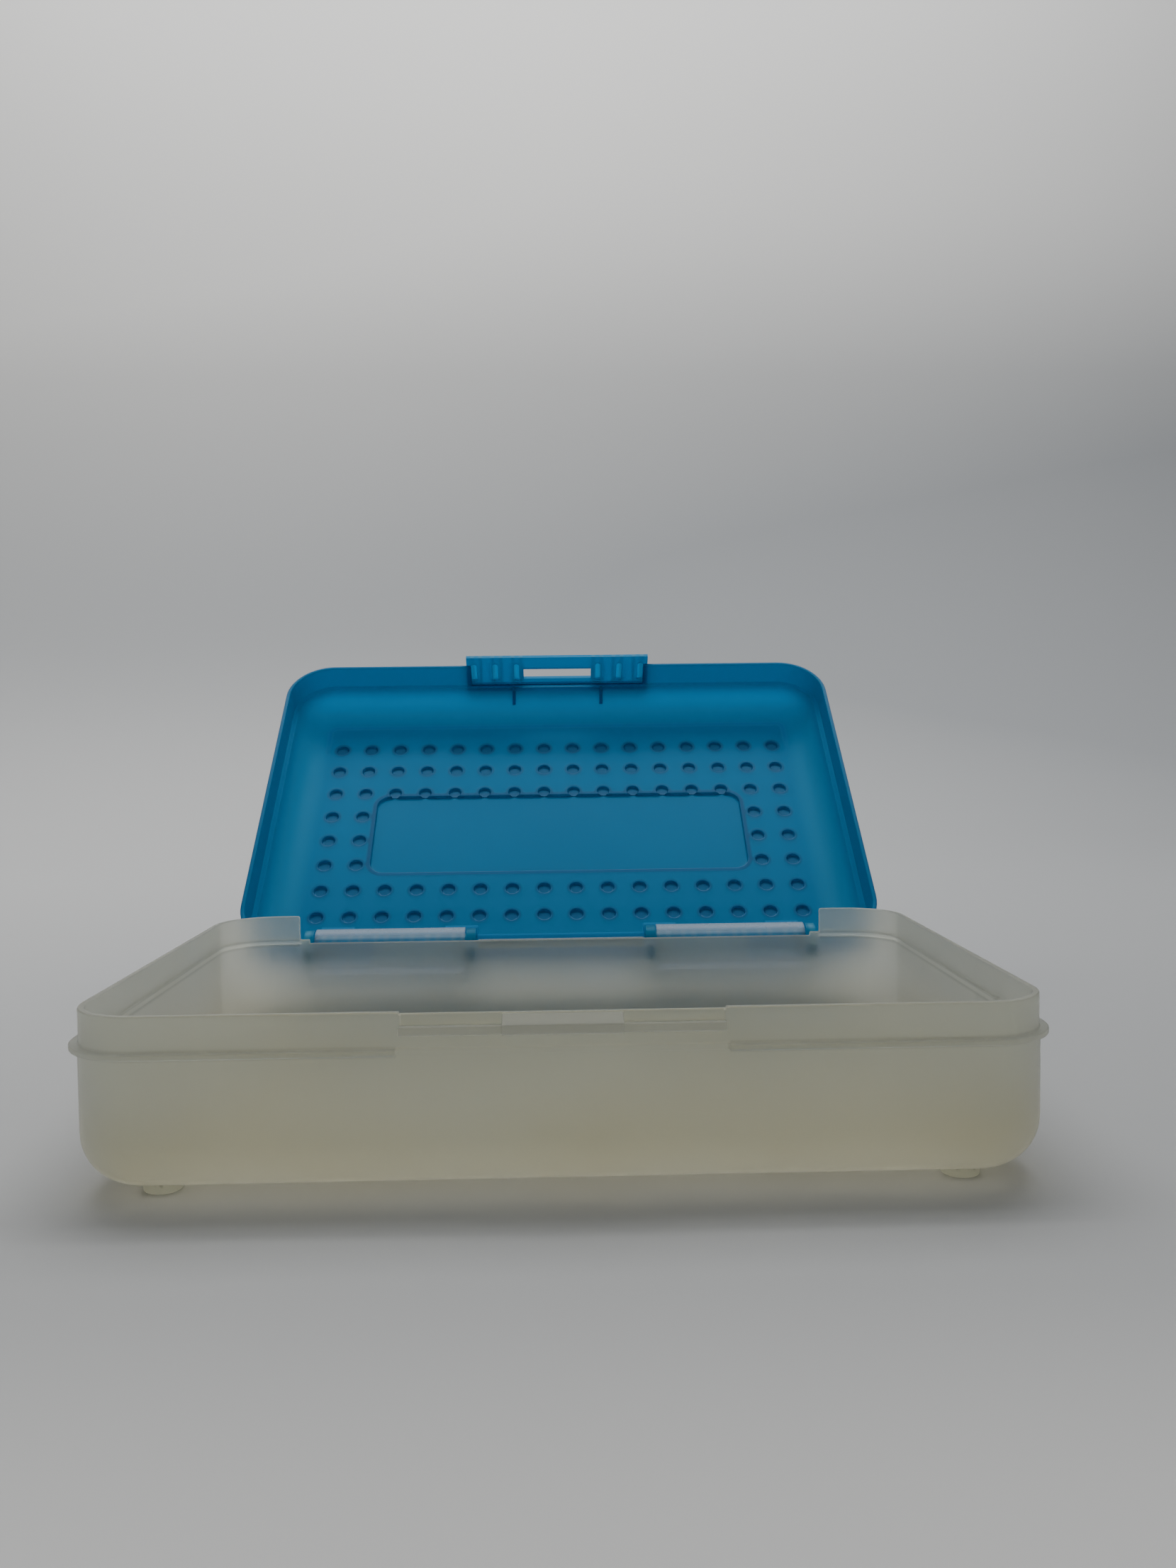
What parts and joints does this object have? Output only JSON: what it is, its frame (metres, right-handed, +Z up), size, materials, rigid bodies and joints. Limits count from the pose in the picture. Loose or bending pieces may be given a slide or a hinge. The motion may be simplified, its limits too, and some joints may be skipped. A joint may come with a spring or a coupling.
{
  "type": "hinged storage case",
  "caption": "Shallow hinged case with a frosted tray, a studded translucent lid that swings back to a stop, and a snap latch tab; holds picks, pencils and other small things.",
  "frame": {"origin": "middle of the tray, on the plane that its four feet stand on", "axes": "+Z up from the feet, -Y towards the latch side, +Y towards the hinge side, +X to the right when seen from the latch side"},
  "size_m": [0.216, 0.2696, 0.1293],
  "materials": {
    "frosted_polypropylene": "frosted, translucent, slightly yellowed",
    "clear_polypropylene": "polished, translucent",
    "blue_polypropylene": "satin, translucent cyan blue"
  },
  "bodies": {
    "base": {"base_tray": "frosted_polypropylene", "foot_front_left": "clear_polypropylene", "foot_front_right": "clear_polypropylene", "foot_rear_left": "clear_polypropylene", "foot_rear_right": "clear_polypropylene", "latch_catch": "frosted_polypropylene", "hinge_barrel_left": "clear_polypropylene", "hinge_barrel_right": "clear_polypropylene", "rear_rail": "frosted_polypropylene"},
    "lid": {"lid_shell": "blue_polypropylene", "hinge_ear_inner_left": "blue_polypropylene", "hinge_ear_outer_left": "blue_polypropylene", "hinge_ear_inner_right": "blue_polypropylene", "hinge_ear_outer_right": "blue_polypropylene", "hinge_pin_left": "blue_polypropylene", "hinge_pin_right": "blue_polypropylene"},
    "tab": {"latch_tab": "blue_polypropylene"}
  },
  "joints": [
    {"name": "lid_hinge", "type": "hinge", "parent": "base", "child": "lid", "pos_m": [0, 0.0757, 0.0294], "axis": [1, 0, 0], "range_deg": [0, 137.8]},
    {"name": "latch_flex", "type": "hinge", "parent": "lid", "child": "tab", "pos_m": [0, 0.1957, 0.11918], "axis": [-1, 0, 0], "range_deg": [0, 10], "stiffness_Nm_per_rad": 0.4}
  ]
}
